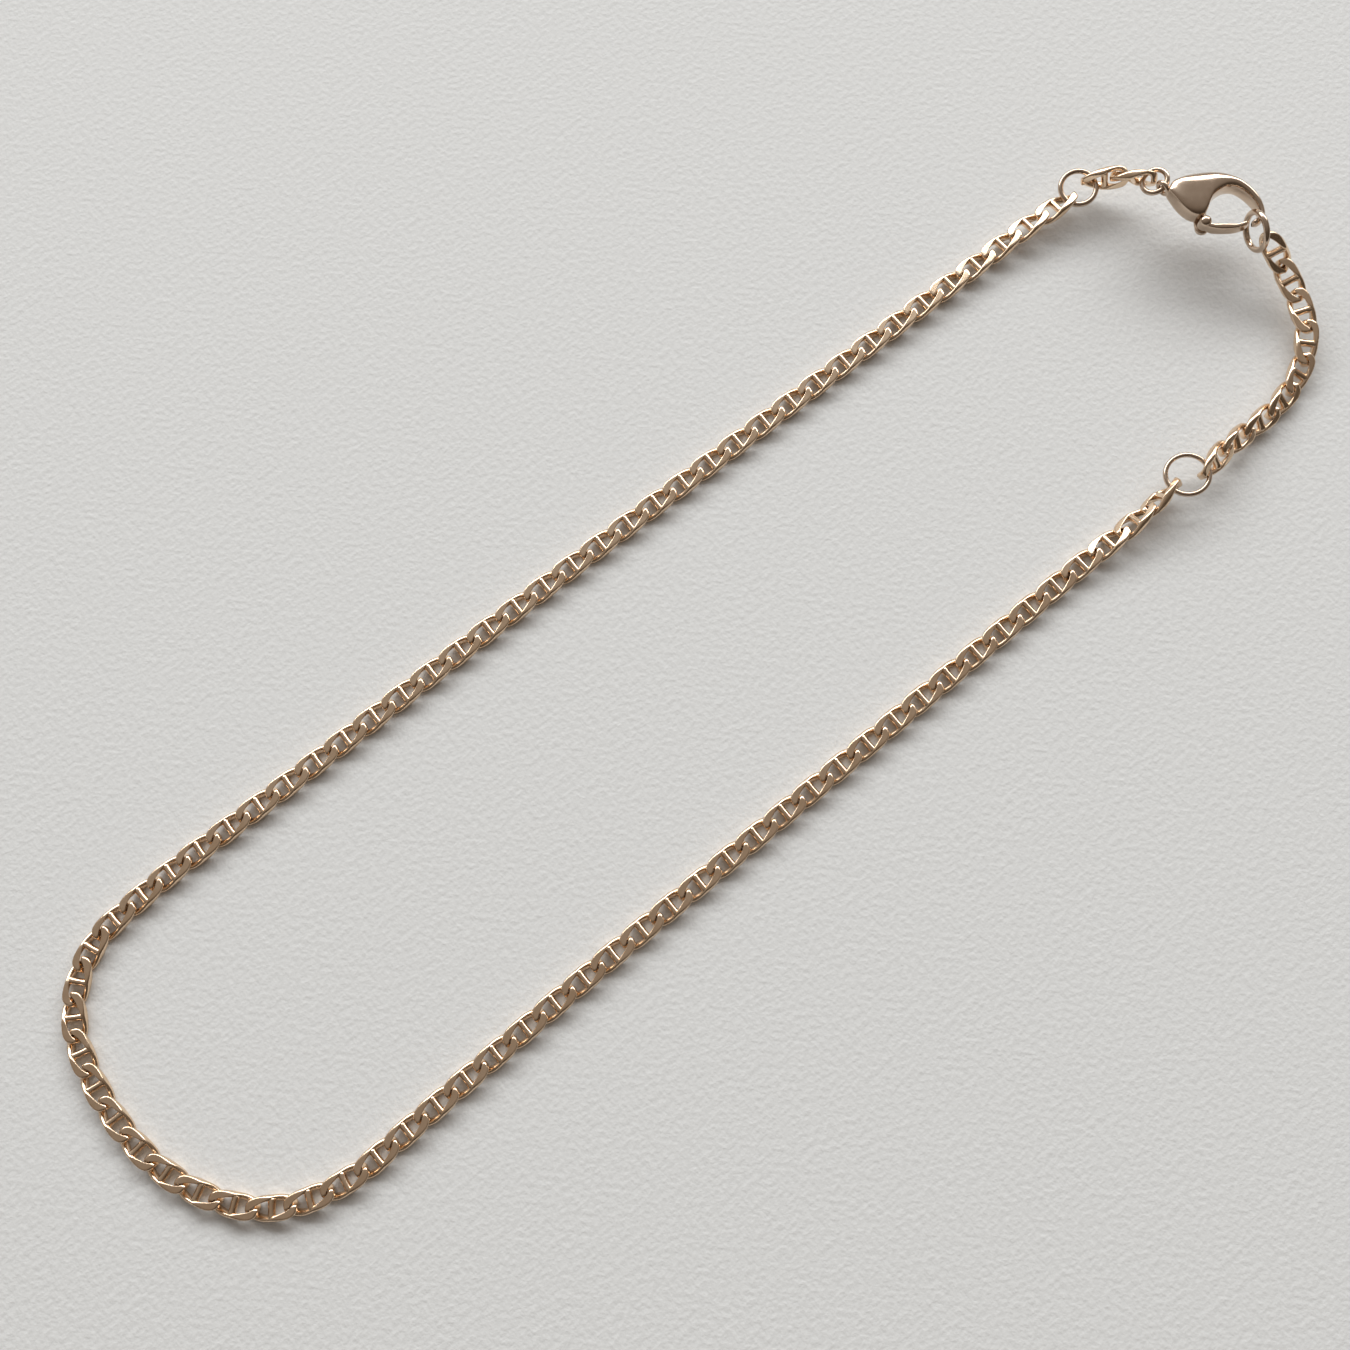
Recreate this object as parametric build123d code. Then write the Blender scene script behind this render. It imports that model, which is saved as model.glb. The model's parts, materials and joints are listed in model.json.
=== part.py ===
from build123d import *
import math
import os

# Chain anklet: a flattened mariner chain with a lobster clasp and a short extension chain.
#
# Units are millimetres. The anklet lies on the plane z = 0 as a long narrow loop. +X runs
# along the loop towards the clasp, +Z is up, and the origin is the middle of the bounding
# box on that plane. Every link is the same twisted oval of wire with a bar across it, and
# each link passes through the next. Only the clasp's lever moves, on its pin.

# ---- chain link ----
LINK_REACH = 1.65        # half length of the wire's centreline
LINK_SIDE = 0.60         # half width of the wire's centreline
LINK_SQUARENESS = 2.8    # power of the oval: 2 is an ellipse, more is squarer
LINK_TWIST = 56.0        # degrees that either end is turned about the link's length
LINK_STATIONS = 12       # sections round the oval
LINK_WIRE_SIDES = 5
LINK_WIRE_ACROSS = 0.165  # corner radius of the wire, in the plane of the oval
LINK_WIRE_THICK = 0.158   # corner radius of the wire, square to that plane
LINK_FLAT_FROM = 0.35    # what stands out past this height is pressed flat
LINK_HALF_HEIGHT = 0.42  # the rolled chain is flat at this height above and below
BAR_RADIUS = 0.17        # the bar is a square prism on its edge
BAR_REACH = 0.48         # half the bar's length, with its ends inside the wire
EXTENSION_PITCH = 2.586
HOOK_DEPTH = 0.325       # how far a wire's centre lies past the joint of two pieces

# ---- rings of round wire: radius of the centreline, radius of the wire ----
JOIN_RING = (1.38, 0.21)
CLASP_RING = (0.95, 0.21)
SIZE_RING = (1.60, 0.19)
END_RING = (1.42, 0.24)

# ---- clasp, in its own plane, with the lever's pivot at (0, 0) ----
CLASP_HALF_HEIGHT = 0.90
CLASP_EDGE_ROUND = 0.22
HOOK_TIP_HALF_HEIGHT = 0.58
HOOK_TIP_TOP_Y = 1.15    # the hook is thinner from here to its tip
EAR_TOP = -0.45          # top of the ear that carries the pin under the boss
EAR_RADIUS = 0.55
EAR_BRIDGE = [(-0.55, 0.0), (0.55, 0.0), (0.60, 1.50), (-0.80, 1.20)]
BOSS_RADIUS = 0.46
BOSS_TOP = 0.74
BOSS_ROUND = 0.40
RUNNING_GAP = 0.06
PIN_RADIUS = 0.15
PIN_TOP = 0.30
PIN_PLAY = 0.02
LEVER_HALF_HEIGHT = 0.52
LEVER_EDGE_ROUND = 0.12
EYE_CENTRE = (-2.88, 3.16, -0.18)
EYE_RADIUS = 0.50        # the eye at the clasp's tail stands on edge
EYE_WIRE = 0.19
EYE_TURN = -52.0         # of the eye's hole, from square to the clasp's length
EYE_TILT = 1.1

# smooth outline of the clasp's body and hook, counterclockwise from the neck
BODY_OUTER = [
    (-2.62, 2.55), (-2.20, 1.85), (-1.57, 0.93), (-0.98, 0.47), (-0.45, 0.42),
]
BODY_INNER = [
    (0.20, 0.66), (0.34, 1.35), (0.66, 1.98), (1.20, 2.50), (1.95, 2.86), (2.68, 2.70),
    (3.28, 2.18), (3.75, 1.55), (4.08, 0.85), (3.93, 0.38), (3.60, 0.22),
]
HOOK_OUTER = [
    (3.60, -0.18), (4.15, -0.10), (4.52, 0.35), (4.56, 1.10), (4.24, 1.95), (3.82, 2.63),
    (3.08, 3.40), (2.05, 3.98), (0.90, 4.17), (-0.26, 4.00), (-1.40, 3.80), (-2.15, 3.50),
]
# smooth outline of the lever's arm
LEVER_TOP = [
    (0.10, -0.05), (0.60, -0.20), (1.41, -0.14), (2.15, -0.20), (2.90, -0.02), (3.22, 0.12),
]
LEVER_BOTTOM = [
    (3.31, -0.16), (2.95, -0.40), (2.20, -0.62), (1.20, -0.68), (0.55, -0.60), (0.05, -0.42),
]

# ---- how the anklet lies ----
BOX_MIDDLE = (16.748, 21.842)        # middle of the bounding box before it moves to the origin
CHAIN_START = (61.70, 32.80, 1.35)
CHAIN_HEADING = 170.0
CHAIN_ROLL = 22.6                # roll of the chain's first end about its own length

# links, pitch, turn at each link, roll at the section's end, height at the section's end
MAIN_ROUTE = [
    (3, 2.65, 2.75, 10.0, 0.60),
    (7, 2.64, 0.08, 0.0, 0.42),
    (8, 2.65, 0.02, 0.0, 0.42),
    (8, 2.66, 0.14, 0.0, 0.42),
    (6, 2.64, -0.22, 0.0, 0.42),
    (3, 2.55, 2.303, 0.0, 0.42),
    (2, 2.495, 17.6, 0.0, 0.42),
    (2, 2.586, 17.6, 0.0, 0.42),
    (3, 2.68, 7.154, 0.0, 0.42),
    (3, 2.69, 10.318, 0.0, 0.42),
    (2, 2.69, 16.642, 0.0, 0.42),
    (2, 2.69, 10.285, 0.0, 0.42),
    (10, 2.664, -0.215, 0.0, 0.42),
    (14, 2.648, 0.038, 0.0, 0.42),
    (2, 2.65, -1.34, -27.0, 0.75),
    (2, 2.62, 2.96, -72.0, 1.50),
]
# heading, climb, roll and bend of the ring after the chain's end
SIZE_RING_LIE = (-16.8, 4.3, -4.5, 16.9)
# heading, climb and roll of each link from that ring to the clasp
EXTENSION_ROUTE = [
    (9.4, -4.2, 44.3),
    (-0.1, -12.7, 39.8),
    (-0.3, -2.7, 39.4),
    (9.8, -2.5, 32.3),
    (24.3, 4.3, 18.0),
    (44.3, 7.8, 1.3),
    (64.8, 5.3, -15.8),
    (77.5, 13.9, -28.2),
    (94.2, 36.8, -38.1),
]
# from the chain's start: heading, climb, roll, and then a ring's bend or a link's pitch
LEAD_ROUTE = {
    "join_ring": (3.9, 6.4, 2.9, 10.3),
    "lead_link_1": (-40.2, 13.8, 66.6, 2.273),
    "lead_link_2": (-59.9, 22.9, 109.4, 2.227),
    "clasp_ring": (-80.6, 19.0, 18.4, 0.0),
}
CLASP_PIVOT = (66.67, 23.97, 3.60)
CLASP_HEADING = -40.2
END_RING_CENTRE = (3.951, -0.536, -0.138)   # in the clasp's own frame
END_RING_NORMAL = (0.952, 0.288, -0.106)  # in the clasp's own frame


def faceted(rings):
    """A closed solid through rings of points, the last joined to the first."""
    faces = []
    sides = len(rings[0])
    for i, ring in enumerate(rings):
        following = rings[(i + 1) % len(rings)]
        for j in range(sides):
            k = (j + 1) % sides
            corners = [ring[j], following[j], following[k], ring[k]]
            faces.append(Face(Wire.make_polygon([corners[0], corners[1], corners[2]])))
            faces.append(Face(Wire.make_polygon([corners[0], corners[2], corners[3]])))
    return Solid(Shell(faces))


def oval_point(angle):
    """A point of the flat oval and the outward direction there."""
    power = 2 / LINK_SQUARENESS
    c, s = math.cos(angle), math.sin(angle)
    x = LINK_REACH * math.copysign(abs(c) ** power, c)
    y = LINK_SIDE * math.copysign(abs(s) ** power, s)
    out_x = math.copysign(abs(c) ** (2 - power), c) / LINK_REACH
    out_y = math.copysign(abs(s) ** (2 - power), s) / LINK_SIDE
    size = math.hypot(out_x, out_y)
    return x, y, out_x / size, out_y / size


def even_angles(count):
    """Angles that are evenly spaced along the oval, from its far end round."""
    fine = 4000
    lengths = [0.0]
    last = oval_point(0.0)
    for i in range(1, fine + 1):
        here = oval_point(math.tau * i / fine)
        lengths.append(lengths[-1] + math.dist(here[:2], last[:2]))
        last = here
    angles = []
    i = 0
    for k in range(count):
        while lengths[i] < lengths[-1] * k / count:
            i += 1
        angles.append(math.tau * i / fine)
    return angles


def twist_and_press(x, y, z):
    """Turn a point about the link's length, and press the high and low ones flat."""
    turn = -math.radians(LINK_TWIST) * x / LINK_REACH
    across = y * math.cos(turn) - z * math.sin(turn)
    up = y * math.sin(turn) + z * math.cos(turn)
    if abs(up) > LINK_FLAT_FROM:
        up = math.copysign(LINK_HALF_HEIGHT, up)
    return (x, across, up)


def make_link():
    """One link: the twisted oval of wire and its bar, rolled flat above and below."""
    rings = []
    for angle in even_angles(LINK_STATIONS):
        x, y, out_x, out_y = oval_point(angle)
        ring = []
        for j in range(LINK_WIRE_SIDES):
            corner = math.tau * (j + 0.5) / LINK_WIRE_SIDES
            across = LINK_WIRE_ACROSS * math.cos(corner)
            up = LINK_WIRE_THICK * math.sin(corner)
            ring.append(twist_and_press(x + out_x * across, y + out_y * across, up))
        rings.append(ring)
    wire = faceted(rings)
    corner = BAR_RADIUS
    section = Polygon((-corner, 0), (0, -corner), (corner, 0), (0, corner), align=None)
    bar = extrude(Plane.XZ * section, amount=BAR_REACH, both=True)
    return (wire + bar).solid()


def make_ring(size):
    """A closed ring of round wire, flat in the XY plane."""
    return Solid.make_torus(size[0], size[1])


def lie(point, heading, climb, roll):
    """The place of a piece whose +X runs along the chain through a point."""
    return Pos(*point) * Rot(0, 0, heading) * Rot(0, -climb, 0) * Rot(roll, 0, 0)


def step(point, length, heading, climb):
    """The point that lies a length further along a heading and a climb."""
    flat = length * math.cos(math.radians(climb))
    return (
        point[0] + flat * math.cos(math.radians(heading)),
        point[1] + flat * math.sin(math.radians(heading)),
        point[2] + length * math.sin(math.radians(climb)),
    )


def hang_ring(point, size, heading, climb, roll, bend):
    """A ring hooked through a joint: where it lies, and the joint across it.

    With a bend, the two joints are not opposite each other: the ring's middle
    lies to the left of the line between them.
    """
    reach = size[0] - HOOK_DEPTH
    length = 2 * reach * math.cos(math.radians(bend))
    middle = step(point, length / 2, heading, climb)
    aside = Pos(0, reach * math.sin(math.radians(bend)), 0)
    return lie(middle, heading, climb, roll) * aside, step(point, length, heading, climb)


def walk(point, heading, roll, route):
    """Places of a chain's links along a route, and the joint it ends at."""
    places = []
    for links, pitch, turn, end_roll, end_height in route:
        climb = math.degrees(math.asin((end_height - point[2]) / (links * pitch)))
        for k in range(links):
            heading += turn
            middle = step(point, pitch / 2, heading, climb)
            link_roll = roll + (end_roll - roll) * (k + 0.5) / links
            places.append(lie(middle, heading, climb, link_roll))
            point = step(point, pitch, heading, climb)
        roll = end_roll
    return places, point


def outline_face(*stretches):
    """A face inside a closed line of smooth stretches joined by short straight ends."""
    edges = []
    previous = stretches[-1][-1]
    for stretch in stretches:
        edges.append(Line(previous, stretch[0]))
        edges.append(Spline(*stretch))
        previous = stretch[-1]
    return make_face(edges)


def make_clasp_body():
    """The lobster clasp's body, hook, ear and eye as one piece."""
    body = extrude(outline_face(BODY_INNER, HOOK_OUTER, BODY_OUTER), CLASP_HALF_HEIGHT, both=True)
    rims = body.faces().filter_by(Axis.Z).edges()
    body = fillet(rims, CLASP_EDGE_ROUND)
    tall = 2 * CLASP_HALF_HEIGHT
    above = Pos(3.9, HOOK_TIP_TOP_Y - 1, HOOK_TIP_HALF_HEIGHT + tall / 2) * Box(2, 2, tall)
    below = Pos(3.9, HOOK_TIP_TOP_Y - 1, -HOOK_TIP_HALF_HEIGHT - tall / 2) * Box(2, 2, tall)
    body = body - above - below
    ear_height = EAR_TOP + CLASP_HALF_HEIGHT
    ear = Polygon(*EAR_BRIDGE, align=None) + Circle(EAR_RADIUS)
    body += Pos(0, 0, -CLASP_HALF_HEIGHT) * extrude(ear, ear_height)
    body -= Pos(0, 0, -CLASP_HALF_HEIGHT) * Cylinder(
        PIN_RADIUS, 2 * ear_height, align=(Align.CENTER, Align.CENTER, Align.CENTER))
    eye = Pos(*EYE_CENTRE) * Rot(0, 0, EYE_TURN) * Rot(EYE_TILT + 90, 0, 0)
    return (body + eye * Torus(EYE_RADIUS, EYE_WIRE)).solid()


def make_lever():
    """The clasp's lever: a domed boss on the pin, and an arm to the hook's tip."""
    bottom = EAR_TOP + RUNNING_GAP
    boss = Pos(0, 0, bottom) * Cylinder(
        BOSS_RADIUS, BOSS_TOP - bottom, align=(Align.CENTER, Align.CENTER, Align.MIN))
    boss = fillet(boss.faces().sort_by(Axis.Z)[-1].edges(), BOSS_ROUND)
    arm = extrude(outline_face(LEVER_TOP, LEVER_BOTTOM), LEVER_HALF_HEIGHT, both=True)
    rims = arm.faces().filter_by(Axis.Z).edges().filter_by(lambda edge: edge.length > 1)
    arm = fillet(rims, LEVER_EDGE_ROUND)
    under = Pos(0, 0, bottom - 1) * Cylinder(EAR_RADIUS + RUNNING_GAP, 2)
    bore = Cylinder(PIN_RADIUS + PIN_PLAY, 2 * (PIN_TOP + RUNNING_GAP))
    return (boss + (arm - under) - bore).solid()


def make_pin():
    """The clasp's pin, from the ear's underside up into the boss."""
    return Pos(0, 0, -CLASP_HALF_HEIGHT) * Cylinder(
        PIN_RADIUS, PIN_TOP + CLASP_HALF_HEIGHT, align=(Align.CENTER, Align.CENTER, Align.MIN))


def build():
    """Every node by name, where it lies."""
    link = make_link()
    nodes = {}

    places, end = walk(CHAIN_START, CHAIN_HEADING, CHAIN_ROLL, MAIN_ROUTE)
    nodes["main_chain"] = [place * link for place in places]

    heading, climb, roll, bend = SIZE_RING_LIE
    place, point = hang_ring(end, SIZE_RING, heading, climb, roll, bend)
    nodes["size_ring"] = [place * make_ring(SIZE_RING)]

    nodes["extension_chain"] = []
    for heading, climb, roll in EXTENSION_ROUTE:
        middle = step(point, EXTENSION_PITCH / 2, heading, climb)
        nodes["extension_chain"].append(lie(middle, heading, climb, roll) * link)
        point = step(point, EXTENSION_PITCH, heading, climb)

    point = CHAIN_START
    for name, (heading, climb, roll, last) in LEAD_ROUTE.items():
        if name.startswith("lead_link"):
            place = lie(step(point, last / 2, heading, climb), heading, climb, roll)
            point = step(point, last, heading, climb)
            nodes[name] = [place * link]
        else:
            size = JOIN_RING if name == "join_ring" else CLASP_RING
            place, point = hang_ring(point, size, heading, climb, roll, last)
            nodes[name] = [place * make_ring(size)]

    clasp = Pos(*CLASP_PIVOT) * Rot(0, 0, CLASP_HEADING)
    nodes["clasp_body"] = [clasp * make_clasp_body()]
    nodes["clasp_lever"] = [clasp * make_lever()]
    nodes["clasp_pin"] = [clasp * make_pin()]
    ring_plane = Plane(origin=END_RING_CENTRE, z_dir=END_RING_NORMAL)
    nodes["end_ring"] = [clasp * (ring_plane.location * make_ring(END_RING))]

    shift = Pos(-BOX_MIDDLE[0], -BOX_MIDDLE[1], 0)
    return {name: [shift * piece for piece in pieces] for name, pieces in nodes.items()}


def main():
    os.makedirs("parts", exist_ok=True)
    nodes = build()
    box = Compound([piece for pieces in nodes.values() for piece in pieces]).bounding_box()
    print("box", box)
    for name, pieces in nodes.items():
        shape = pieces[0] if len(pieces) == 1 else Compound(pieces)
        shape.label = name
        export_step(shape, os.path.join("parts", name + ".step"))
        print(name, len(pieces), round(sum(piece.volume for piece in pieces), 3))


if __name__ == "__main__":
    main()
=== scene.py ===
"""Chain anklet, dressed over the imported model.

The frame is in metres; shapes are worked out in millimetres and multiplied by MM. The
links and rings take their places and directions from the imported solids. The links' bands
are wider and thicker than the solids' wire. The clasp's forms are built in the clasp's own
plane, with the lever's pivot at (0, 0).
"""
import json
import math

import bpy
import numpy
from mathutils import Matrix, Vector


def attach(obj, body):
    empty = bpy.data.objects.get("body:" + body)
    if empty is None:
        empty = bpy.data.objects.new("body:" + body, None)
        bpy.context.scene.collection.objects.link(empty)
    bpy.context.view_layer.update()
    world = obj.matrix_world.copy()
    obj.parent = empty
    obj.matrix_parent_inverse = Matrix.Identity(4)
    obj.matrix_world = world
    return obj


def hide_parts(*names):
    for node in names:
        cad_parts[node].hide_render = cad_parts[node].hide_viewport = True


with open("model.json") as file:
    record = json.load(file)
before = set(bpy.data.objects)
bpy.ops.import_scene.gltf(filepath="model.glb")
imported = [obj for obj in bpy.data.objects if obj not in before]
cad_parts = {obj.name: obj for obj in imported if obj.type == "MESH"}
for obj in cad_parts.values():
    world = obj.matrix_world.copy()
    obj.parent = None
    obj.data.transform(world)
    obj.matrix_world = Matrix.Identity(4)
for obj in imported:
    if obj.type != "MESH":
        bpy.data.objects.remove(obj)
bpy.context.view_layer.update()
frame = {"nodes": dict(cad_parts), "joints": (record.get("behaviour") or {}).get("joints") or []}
nodes = frame["nodes"]
MM = 0.001

# ---- camera: the lens is assumed, and its place, tilt and roll were fitted with it ----
CAMERA_SPOT = (-16.748, -21.842, 108.51)    # millimetres
CAMERA_HEADING = 59.5        # degrees from +X, of the view's horizontal direction
CAMERA_DOWN = 76.26          # degrees below the horizon
CAMERA_ROLL = -8.71
CAMERA_LENS = 40.0
CAMERA_SENSOR = 36.0
CAMERA_NEAREST = 0.005

# ---- one link: its band follows a superellipse, twisted about the link's length ----
LINK_REACH = 1.61            # half length of the band's middle line
LINK_SIDE = 0.70             # half width of the band's middle line
LINK_SQUARENESS = 3.4        # power of the superellipse: 2 is an ellipse, more is squarer
LINK_TWIST = 54.0            # degrees that either end is turned
LINK_HALF_HEIGHT = 0.42      # the rolled link stays within this height above and below
LINK_SOFT_FROM = 0.385       # it levels off from this height on
LINK_SOFTENING = 1.6         # how fast it levels off
LINK_STATIONS = 56
BAND_HALF_WIDTH = (0.205, 0.215)    # these pairs are at the link's waist and at its ends
BAND_HALF_THICK = (0.37, 0.30)
BAND_SQUARENESS = (2.2, 3.6)
BAND_EASE = 1.5              # power by which the band changes from waist to end
BAND_SIDES = 20
BAR_HALF_WIDTH = 0.27
BAR_HALF_THICK = 0.33
BAR_SQUARENESS = 2.0
BAR_SWELL = 0.30             # the bar is wider by this share where it meets the band
BAR_SWELL_EASE = 4           # power by which it widens from the middle to there
BAR_SECTIONS = 9
BAR_SIDES = 14

# ---- rings of round wire: radius of the middle line, radius of the wire ----
RINGS = {
    "join_ring": (1.38, 0.21),
    "clasp_ring": (0.95, 0.21),
    "size_ring": (1.60, 0.19),
    "end_ring": (1.42, 0.24),
}
RING_STATIONS = 72
WIRE_SIDES = 20

# ---- clasp ----
CLASP_HEADING = -40.2        # degrees from +X
RUNG_STEPS = 4               # sections between two rungs
RUNG_SIDES = 32
# rungs of the body and hook, from its tail round to its tip: a point on the outer side, the
# point across from it on the inner side, half the height there, the middle height, and how
# square the section is
BODY_RUNGS = [
    (-2.42, 3.22, -2.62, 2.86, 0.30, 0.0, 3.00),
    (-2.24, 3.46, -2.66, 2.58, 0.56, 0.0, 4.40),
    (-1.86, 3.64, -2.34, 2.04, 0.76, 0.0, 4.40),
    (-1.42, 3.80, -1.86, 1.32, 0.88, 0.0, 4.40),
    (-0.90, 3.92, -1.26, 0.70, 0.93, 0.0, 4.40),
    (-0.40, 4.00, -0.66, 0.42, 0.94, 0.0, 4.40),
    (0.10, 4.07, -0.12, 0.48, 0.93, 0.0, 4.40),
    (0.55, 4.14, 0.16, 0.86, 0.92, 0.0, 3.80),
    (0.95, 4.17, 0.34, 1.36, 0.91, 0.0, 3.40),
    (1.35, 4.15, 0.62, 1.92, 0.89, 0.0, 3.00),
    (1.85, 4.05, 1.10, 2.42, 0.87, 0.0, 2.70),
    (2.40, 3.82, 1.72, 2.78, 0.86, 0.0, 2.50),
    (2.95, 3.49, 2.38, 2.80, 0.84, 0.0, 2.35),
    (3.45, 3.03, 2.92, 2.50, 0.82, 0.0, 2.30),
    (3.90, 2.50, 3.36, 2.10, 0.80, 0.0, 2.30),
    (4.26, 1.90, 3.75, 1.58, 0.74, 0.0, 2.30),
    (4.50, 1.28, 4.00, 1.10, 0.64, 0.0, 2.30),
    (4.57, 0.66, 4.06, 0.68, 0.58, 0.0, 2.30),
    (4.40, 0.16, 3.95, 0.40, 0.56, 0.0, 2.30),
    (4.05, -0.12, 3.76, 0.26, 0.50, 0.0, 2.30),
    (3.68, -0.16, 3.62, 0.18, 0.34, 0.0, 2.30),
]
# rungs of the ear that carries the pin, with the same columns
EAR_RUNGS = [
    (-0.60, 1.30, 0.42, 1.30, 0.20, -0.675, 3.0),
    (-0.58, 0.70, 0.46, 0.70, 0.22, -0.675, 3.0),
    (-0.54, 0.10, 0.54, 0.10, 0.22, -0.675, 3.0),
    (-0.50, -0.20, 0.50, -0.20, 0.22, -0.675, 3.0),
    (-0.34, -0.42, 0.34, -0.42, 0.20, -0.675, 3.0),
    (-0.14, -0.52, 0.14, -0.52, 0.12, -0.675, 3.0),
]
# the tail's eye: a ring of wire stood upright with a slight lean, then turned about Z
EYE_CENTRE = (-2.88, 3.16, -0.18)
EYE_RADIUS = 0.50
EYE_WIRE = 0.19
EYE_TURN = -52.0             # degrees
EYE_TILT = 1.1
# rungs of the lever's arm, from the boss to its tip, with the same columns
LEVER_RUNGS = [
    (0.02, -0.06, 0.02, -0.40, 0.40, 0.0, 4.0),
    (0.35, -0.12, 0.35, -0.54, 0.50, 0.0, 4.0),
    (0.75, -0.20, 0.75, -0.64, 0.52, 0.0, 4.0),
    (1.41, -0.15, 1.41, -0.68, 0.52, 0.0, 4.0),
    (2.15, -0.20, 2.15, -0.63, 0.52, 0.0, 4.0),
    (2.62, -0.12, 2.62, -0.52, 0.52, 0.0, 4.0),
    (2.98, 0.02, 3.04, -0.36, 0.50, 0.0, 4.0),
    (3.20, 0.09, 3.27, -0.18, 0.40, 0.0, 4.0),
    (3.25, 0.06, 3.31, -0.10, 0.20, 0.0, 4.0),
]
# the boss over the pin: radius and height of each step of its outline
BOSS_PROFILE = [
    (0.16, -0.36), (0.40, -0.37), (0.45, -0.33), (0.46, -0.20), (0.46, 0.10), (0.46, 0.33),
    (0.445, 0.45), (0.405, 0.55), (0.34, 0.63), (0.25, 0.69), (0.13, 0.73), (0.03, 0.745),
]
BOSS_SIDES = 40

# ---- room: its pale side's direction in degrees, and its tones from the side away from
# that (0) to the pale one (1). They were tuned to the picture's tones, not measured ----
ROOM_HEADING = 72.0
ROOM_ELEVATION = 30.0
ROOM_TONES = [
    (0.0, (0.04, 0.031, 0.023)),
    (0.42, (0.11, 0.091, 0.074)),
    (0.66, (0.245, 0.213, 0.188)),
    (0.86, (0.305, 0.276, 0.252)),
    (1.0, (0.60, 0.60, 0.60)),
]

# ---- window: a soft light on one side of the anklet, in degrees, metres and watts ----
WINDOW_HEADING = 53.0
WINDOW_ELEVATION = 33.0
WINDOW_DISTANCE = 1.8
WINDOW_SIZE = (4.0, 0.72)
WINDOW_POWER = 56.5
WINDOW_COLOUR = (0.975, 0.99, 1.0)

# ---- golds: least and most roughness, deep and pale tone. The clasp and rings have the
# darker one, a painted shade: they look darker in the picture, and it is no known difference of
# alloy ----
SATIN_GOLD = (0.15, 0.24, (0.82, 0.61, 0.42, 1), (0.89, 0.69, 0.50, 1))
# its deep and pale tones are darker than the satin gold's, as painted shade on the clasp and
# rings
POLISHED_GOLD_PAINTED_SHADE = (0.12, 0.20, (0.585, 0.45, 0.34, 1), (0.645, 0.51, 0.395, 1))
GOLD_CLOUD_SCALE = 900.0
GOLD_CLOUD_DETAIL = 4.0
GOLD_CLOUD_SPAN = (0.35, 0.65)      # where the noise is all deep, and all pale

# ---- paper, in metres ----
PAPER_HALF_SIDE = 0.6
PAPER_ROUGHNESS = 0.95
PAPER_DEEP = (0.765, 0.77, 0.76, 1)
PAPER_PALE = (0.815, 0.82, 0.81, 1)
GRAIN_SCALE = 2400.0
GRAIN_DETAIL = 3.0
GRAIN_SPAN = (0.3, 0.7)
GRAIN_STRENGTH = 0.55
GRAIN_HEIGHT = 0.00010

ARC_STEPS = 3000             # steps by which a superellipse's length is measured
SPOTS_PER_METRE = 1e7        # vertices that round to the same spot count as one


def superellipse(angle, width, height, power):
    """A point of a superellipse with those half sizes."""
    c = math.cos(angle)
    s = math.sin(angle)
    x = width * math.copysign(abs(c) ** (2 / power), c)
    y = height * math.copysign(abs(s) ** (2 / power), s)
    return x, y


def even_angles(count, width, height, power):
    """Angles evenly spaced along a superellipse."""
    lengths = [0.0]
    last = superellipse(0.0, width, height, power)
    for i in range(1, ARC_STEPS + 1):
        here = superellipse(math.tau * i / ARC_STEPS, width, height, power)
        lengths.append(lengths[-1] + math.dist(here, last))
        last = here
    angles = []
    i = 0
    for k in range(count):
        while lengths[i] < lengths[-1] * k / count:
            i += 1
        angles.append(math.tau * i / ARC_STEPS)
    return angles


def outward(angle, width, height, power):
    """The outward direction of a superellipse."""
    c = math.cos(angle)
    s = math.sin(angle)
    x = math.copysign(abs(c) ** (2 - 2 / power), c) / width
    y = math.copysign(abs(s) ** (2 - 2 / power), s) / height
    size = math.hypot(x, y)
    return x / size, y / size


def add_rings(verts, faces, rings, closed):
    """Joins rings of points into a tube, closed on itself or capped at its ends."""
    first = len(verts)
    sides = len(rings[0])
    for ring in rings:
        verts.extend(ring)
    count = len(rings)
    for i in range(count if closed else count - 1):
        a = first + i * sides
        b = first + ((i + 1) % count) * sides
        for j in range(sides):
            k = (j + 1) % sides
            faces.append((a + j, b + j, b + k, a + k))
    if not closed:
        faces.append(tuple(first + j for j in range(sides)))
        faces.append(tuple(first + (count - 1) * sides + j for j in reversed(range(sides))))


def twist_and_press(x, y, z):
    """Turns a point about the link's length, and levels off what is too high or low."""
    turn = -math.radians(LINK_TWIST) * x / LINK_REACH
    across = y * math.cos(turn) - z * math.sin(turn)
    up = y * math.sin(turn) + z * math.cos(turn)
    room = LINK_HALF_HEIGHT - LINK_SOFT_FROM
    over = abs(up) - LINK_SOFT_FROM
    if over > 0:
        rise = room * (1 - math.exp(-LINK_SOFTENING * over / room))
        up = math.copysign(LINK_SOFT_FROM + rise, up)
    return (x, across, up)


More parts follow.
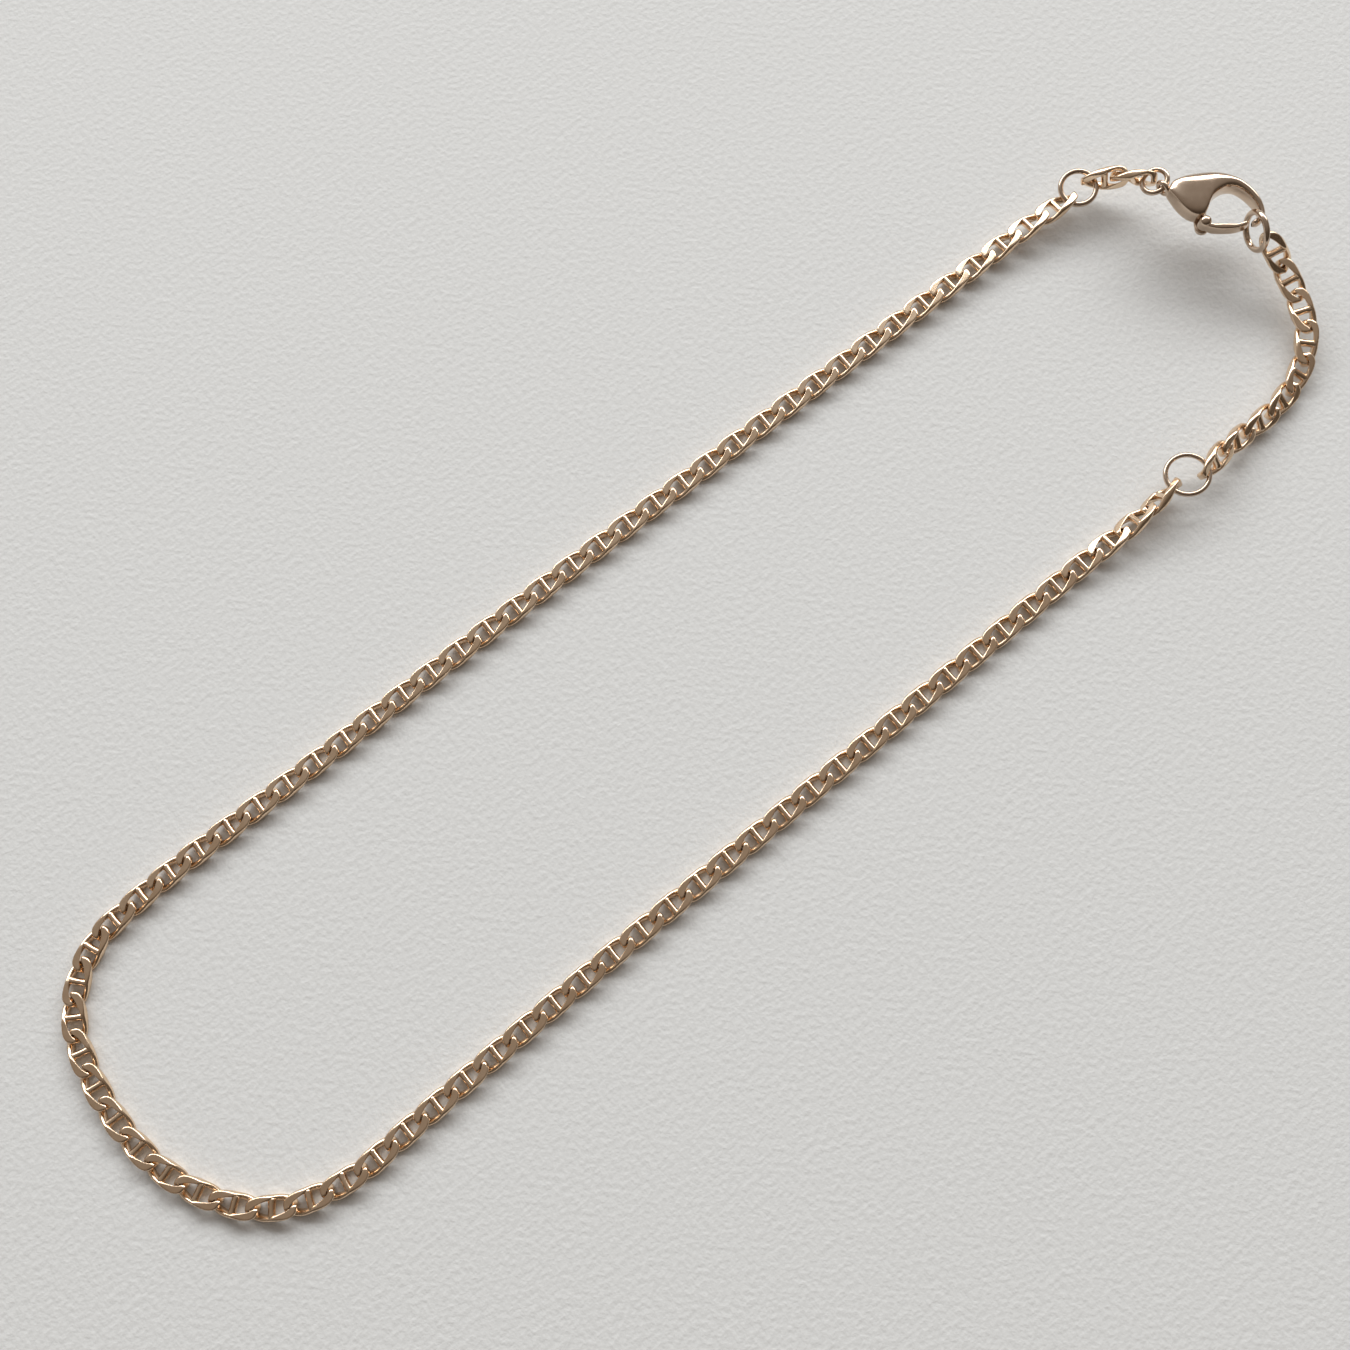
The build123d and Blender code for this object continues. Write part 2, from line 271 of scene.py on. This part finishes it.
def link_geometry():
    """The points and faces of one link in its own frame, in millimetres."""
    verts = []
    faces = []
    rings = []
    waist_width, end_width = BAND_HALF_WIDTH
    waist_thick, end_thick = BAND_HALF_THICK
    waist_square, end_square = BAND_SQUARENESS
    section = even_angles(BAND_SIDES, 1.0, 1.0, end_square)
    for angle in even_angles(LINK_STATIONS, LINK_REACH, LINK_SIDE, LINK_SQUARENESS):
        x, y = superellipse(angle, LINK_REACH, LINK_SIDE, LINK_SQUARENESS)
        out_x, out_y = outward(angle, LINK_REACH, LINK_SIDE, LINK_SQUARENESS)
        share = (abs(x) / LINK_REACH) ** BAND_EASE
        width = waist_width + (end_width - waist_width) * share
        thick = waist_thick + (end_thick - waist_thick) * share
        square = waist_square + (end_square - waist_square) * share
        ring = []
        for turn in section:
            across, up = superellipse(turn, width, thick, square)
            ring.append(twist_and_press(x + out_x * across, y + out_y * across, up))
        rings.append(ring)
    add_rings(verts, faces, rings, True)
    rings = []
    for k in range(BAR_SECTIONS):
        along = 2 * k / (BAR_SECTIONS - 1) - 1
        width = BAR_HALF_WIDTH * (1 + BAR_SWELL * abs(along) ** BAR_SWELL_EASE)
        ring = []
        for j in range(BAR_SIDES):
            turn = -math.tau * j / BAR_SIDES
            across, up = superellipse(turn, width, BAR_HALF_THICK, BAR_SQUARENESS)
            ring.append((across, LINK_SIDE * along, up))
        rings.append(ring)
    add_rings(verts, faces, rings, False)
    return verts, faces


def torus_geometry(radius, wire):
    """The points and faces of a ring of round wire, flat in the XY plane."""
    verts = []
    faces = []
    rings = []
    for i in range(RING_STATIONS):
        turn = math.tau * i / RING_STATIONS
        ring = []
        for j in range(WIRE_SIDES):
            roll = -math.tau * j / WIRE_SIDES
            out = radius + wire * math.cos(roll)
            ring.append((out * math.cos(turn), out * math.sin(turn), wire * math.sin(roll)))
        rings.append(ring)
    add_rings(verts, faces, rings, True)
    return verts, faces


def between(before, start, end, after, t):
    """A smooth value between start and end, with their neighbours' slopes."""
    slope_start = (end - before) / 2
    slope_end = (after - start) / 2
    a = 2 * start - 2 * end + slope_start + slope_end
    b = 3 * end - 3 * start - 2 * slope_start - slope_end
    return ((a * t + b) * t + slope_start) * t + start


def smooth_rows(rows, steps):
    """The rows with smooth ones added between them."""
    out = []
    last = len(rows) - 1
    for i in range(last):
        before = rows[max(i - 1, 0)]
        after = rows[min(i + 2, last)]
        for k in range(steps):
            row = zip(before, rows[i], rows[i + 1], after)
            out.append([between(*values, k / steps) for values in row])
    out.append(list(rows[last]))
    return out


def rung_geometry(rungs):
    """A smooth closed form over rungs, with the columns named above BODY_RUNGS."""
    rings = []
    for row in smooth_rows(rungs, RUNG_STEPS):
        outer_x, outer_y, inner_x, inner_y, high, level, power = row
        middle = Vector(((outer_x + inner_x) / 2, (outer_y + inner_y) / 2, level))
        aside = Vector(((outer_x - inner_x) / 2, (outer_y - inner_y) / 2, 0.0))
        ring = []
        for turn in even_angles(RUNG_SIDES, 1.0, 1.0, power):
            across, up = superellipse(turn, 1.0, high, power)
            ring.append(tuple(middle + aside * across + Vector((0.0, 0.0, up))))
        rings.append(ring)
    verts = []
    faces = []
    add_rings(verts, faces, rings, False)
    return verts, faces


def lathe_geometry(profile):
    """A closed turned form about +Z through a profile of radius and height."""
    rings = []
    for radius, height in profile:
        ring = []
        for j in range(BOSS_SIDES):
            turn = math.tau * j / BOSS_SIDES
            ring.append((radius * math.cos(turn), radius * math.sin(turn), height))
        rings.append(ring)
    verts = []
    faces = []
    add_rings(verts, faces, rings, False)
    return verts, [tuple(reversed(face)) for face in faces]


def merged(parts):
    """One list of points and one of faces from (points, faces, place) parts."""
    verts = []
    faces = []
    for part_verts, part_faces, place in parts:
        first = len(verts)
        verts.extend(place @ (Vector(v) * MM) for v in part_verts)
        faces.extend(tuple(first + i for i in face) for face in part_faces)
    return verts, faces


def islands(node):
    """The loose parts of a node's mesh, each a list of points."""
    mesh = nodes[node].data
    spots = {}
    spot_of = []
    for vertex in mesh.vertices:
        key = tuple(round(c * SPOTS_PER_METRE) for c in vertex.co)
        spot_of.append(spots.setdefault(key, len(spots)))
    parent = list(range(len(spots)))

    def find(i):
        while parent[i] != i:
            parent[i] = parent[parent[i]]
            i = parent[i]
        return i

    for edge in mesh.edges:
        a = find(spot_of[edge.vertices[0]])
        b = find(spot_of[edge.vertices[1]])
        parent[a] = b
    groups = {}
    for vertex, spot in zip(mesh.vertices, spot_of):
        groups.setdefault(find(spot), {})[spot] = vertex.co.copy()
    return [list(group.values()) for group in groups.values()]


def own_frame(points):
    """The middle of a symmetric solid and its own axes, longest first, its top side up."""
    cloud = numpy.array([list(p) for p in points])
    middle = cloud.mean(0)
    cloud = cloud - middle
    axes = numpy.linalg.eigh(cloud.T @ cloud)[1]
    x = Vector(axes[:, 2])
    y = Vector(axes[:, 1])
    if x.cross(y).z < 0:
        y.negate()
    z = x.cross(y)
    place = Matrix((x, y, z)).transposed().to_4x4()
    place.translation = Vector(middle)
    return place


def make_object(name, verts, faces, material, smooth=True):
    """A mesh object from points in metres."""
    mesh = bpy.data.meshes.new(name)
    mesh.from_pydata(verts, [], faces)
    mesh.validate()
    mesh.materials.append(material)
    for polygon in mesh.polygons:
        polygon.use_smooth = smooth
    thing = bpy.data.objects.new(name, mesh)
    bpy.context.scene.collection.objects.link(thing)
    return thing


def dress(thing, node):
    """The piece stands for a node and rides on its body."""
    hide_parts(node)
    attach(thing, "lever" if node == "clasp_lever" else "anklet")


def clouded_material(name, scale, detail, span, tones):
    """A material whose tone drifts between two: returns it, its shader and its noise."""
    material = bpy.data.materials.new(name)
    material.use_nodes = True
    tree = material.node_tree
    shader = tree.nodes["Principled BSDF"]
    coords = tree.nodes.new("ShaderNodeTexCoord")
    cloud = tree.nodes.new("ShaderNodeTexNoise")
    cloud.inputs["Scale"].default_value = scale
    cloud.inputs["Detail"].default_value = detail
    tree.links.new(coords.outputs["Object"], cloud.inputs["Vector"])
    tint = tree.nodes.new("ShaderNodeValToRGB")
    for element, (position, colour) in zip(tint.color_ramp.elements, zip(span, tones)):
        element.position = position
        element.color = colour
    tree.links.new(cloud.outputs["Fac"], tint.inputs["Fac"])
    tree.links.new(tint.outputs["Color"], shader.inputs["Base Color"])
    return material, shader, cloud


def gold_material(name, least_rough, most_rough, deep, pale):
    """Gold with a faintly uneven tone and sheen."""
    material, shader, cloud = clouded_material(
        name, GOLD_CLOUD_SCALE, GOLD_CLOUD_DETAIL, GOLD_CLOUD_SPAN, (deep, pale)
    )
    tree = material.node_tree
    shader.inputs["Metallic"].default_value = 1.0
    rough = tree.nodes.new("ShaderNodeMapRange")
    rough.inputs["To Min"].default_value = least_rough
    rough.inputs["To Max"].default_value = most_rough
    tree.links.new(cloud.outputs["Fac"], rough.inputs["Value"])
    tree.links.new(rough.outputs["Result"], shader.inputs["Roughness"])
    return material


def make_floor():
    """A pale matte sheet of paper with a faint grain."""
    material, shader, grain = clouded_material(
        "pale_paper", GRAIN_SCALE, GRAIN_DETAIL, GRAIN_SPAN, (PAPER_DEEP, PAPER_PALE)
    )
    tree = material.node_tree
    shader.inputs["Roughness"].default_value = PAPER_ROUGHNESS
    bump = tree.nodes.new("ShaderNodeBump")
    bump.inputs["Strength"].default_value = GRAIN_STRENGTH
    bump.inputs["Distance"].default_value = GRAIN_HEIGHT
    tree.links.new(grain.outputs["Fac"], bump.inputs["Height"])
    tree.links.new(bump.outputs["Normal"], shader.inputs["Normal"])
    half = PAPER_HALF_SIDE
    verts = [(-half, -half, 0), (half, -half, 0), (half, half, 0), (-half, half, 0)]
    floor = make_object("floor", verts, [(0, 1, 2, 3)], material, False)


def make_camera():
    """The camera, at the fitted spot over the paper."""
    down = math.radians(CAMERA_DOWN)
    heading = math.radians(CAMERA_HEADING)
    roll = math.radians(CAMERA_ROLL)
    level = Vector((math.cos(heading), math.sin(heading), 0))
    right = Vector((math.sin(heading), -math.cos(heading), 0))
    look = level * math.cos(down) - Vector((0, 0, math.sin(down)))
    up = level * math.sin(down) + Vector((0, 0, math.cos(down)))
    x = right * math.cos(roll) + up * math.sin(roll)
    y = up * math.cos(roll) - right * math.sin(roll)
    data = bpy.data.cameras.new("camera")
    data.sensor_width = CAMERA_SENSOR
    data.lens = CAMERA_LENS
    data.clip_start = CAMERA_NEAREST
    camera = bpy.data.objects.new("camera", data)
    place = Matrix((x, y, -look)).transposed().to_4x4()
    place.translation = Vector(CAMERA_SPOT) * MM
    camera.matrix_world = place
    bpy.context.scene.collection.objects.link(camera)
    bpy.context.scene.camera = camera


def direction(heading, elevation):
    """The unit vector of a compass heading from +X and an elevation, in degrees."""
    turn = math.radians(heading)
    level = math.cos(math.radians(elevation))
    up = math.sin(math.radians(elevation))
    return Vector((level * math.cos(turn), level * math.sin(turn), up))


def make_window():
    """A wide soft light that faces the anklet from one side."""
    data = bpy.data.lights.new("window", "AREA")
    data.shape = "RECTANGLE"
    data.size, data.size_y = WINDOW_SIZE
    data.energy = WINDOW_POWER
    data.color = WINDOW_COLOUR
    light = bpy.data.objects.new("window", data)
    spot = direction(WINDOW_HEADING, WINDOW_ELEVATION) * WINDOW_DISTANCE
    light.location = spot
    light.rotation_euler = (-spot).to_track_quat("-Z", "Y").to_euler()
    bpy.context.scene.collection.objects.link(light)


def make_world():
    """Soft room light: pale on the window's side, dim and warm on the other."""
    world = bpy.data.worlds.new("room")
    world.use_nodes = True
    tree = world.node_tree
    back = tree.nodes["Background"]
    coords = tree.nodes.new("ShaderNodeTexCoord")
    towards = tree.nodes.new("ShaderNodeVectorMath")
    towards.operation = "DOT_PRODUCT"
    towards.inputs[1].default_value = direction(ROOM_HEADING, ROOM_ELEVATION)
    tree.links.new(coords.outputs["Generated"], towards.inputs[0])
    share = tree.nodes.new("ShaderNodeMapRange")
    share.inputs["From Min"].default_value = -1.0
    tree.links.new(towards.outputs["Value"], share.inputs["Value"])
    ramp = tree.nodes.new("ShaderNodeValToRGB")
    while len(ramp.color_ramp.elements) < len(ROOM_TONES):
        ramp.color_ramp.elements.new(0.5)
    for element, (position, colour) in zip(ramp.color_ramp.elements, ROOM_TONES):
        element.position = position
        element.color = colour + (1,)
    tree.links.new(share.outputs["Result"], ramp.inputs["Fac"])
    tree.links.new(ramp.outputs["Color"], back.inputs["Color"])
    bpy.context.scene.world = world


satin = gold_material("satin_gold", *SATIN_GOLD)
polished_shaded_gold = gold_material("polished_gold_painted_shade", *POLISHED_GOLD_PAINTED_SHADE)
make_camera()
make_floor()
make_world()
make_window()
# the lights and golds above are set for this transform
bpy.context.scene.view_settings.view_transform = "Standard"

link_verts, link_faces = link_geometry()
for node in ("main_chain", "extension_chain", "lead_link_1", "lead_link_2"):
    parts = [(link_verts, link_faces, own_frame(points)) for points in islands(node)]
    dress(make_object(node + "_links", *merged(parts), satin), node)

for node, (radius, wire) in RINGS.items():
    ring = torus_geometry(radius, wire) + (own_frame(islands(node)[0]),)
    dress(make_object(node + "_wire", *merged([ring]), polished_shaded_gold), node)

pivot = Vector(frame["joints"][0]["pos_m"])
clasp = Matrix.Translation(pivot) @ Matrix.Rotation(math.radians(CLASP_HEADING), 4, "Z")
eye = (
    clasp
    @ Matrix.Translation(Vector(EYE_CENTRE) * MM)
    @ Matrix.Rotation(math.radians(EYE_TURN), 4, "Z")
    @ Matrix.Rotation(math.radians(EYE_TILT + 90), 4, "X")
)
body_parts = [
    rung_geometry(BODY_RUNGS) + (clasp,),
    rung_geometry(EAR_RUNGS) + (clasp,),
    torus_geometry(EYE_RADIUS, EYE_WIRE) + (eye,),
]
dress(make_object("clasp_shell", *merged(body_parts), polished_shaded_gold), "clasp_body")
lever_parts = [
    rung_geometry(LEVER_RUNGS) + (clasp,),
    lathe_geometry(BOSS_PROFILE) + (clasp,),
]
dress(make_object("clasp_lever_arm", *merged(lever_parts), polished_shaded_gold), "clasp_lever")

nodes["clasp_pin"].data.materials.clear()
nodes["clasp_pin"].data.materials.append(polished_shaded_gold)
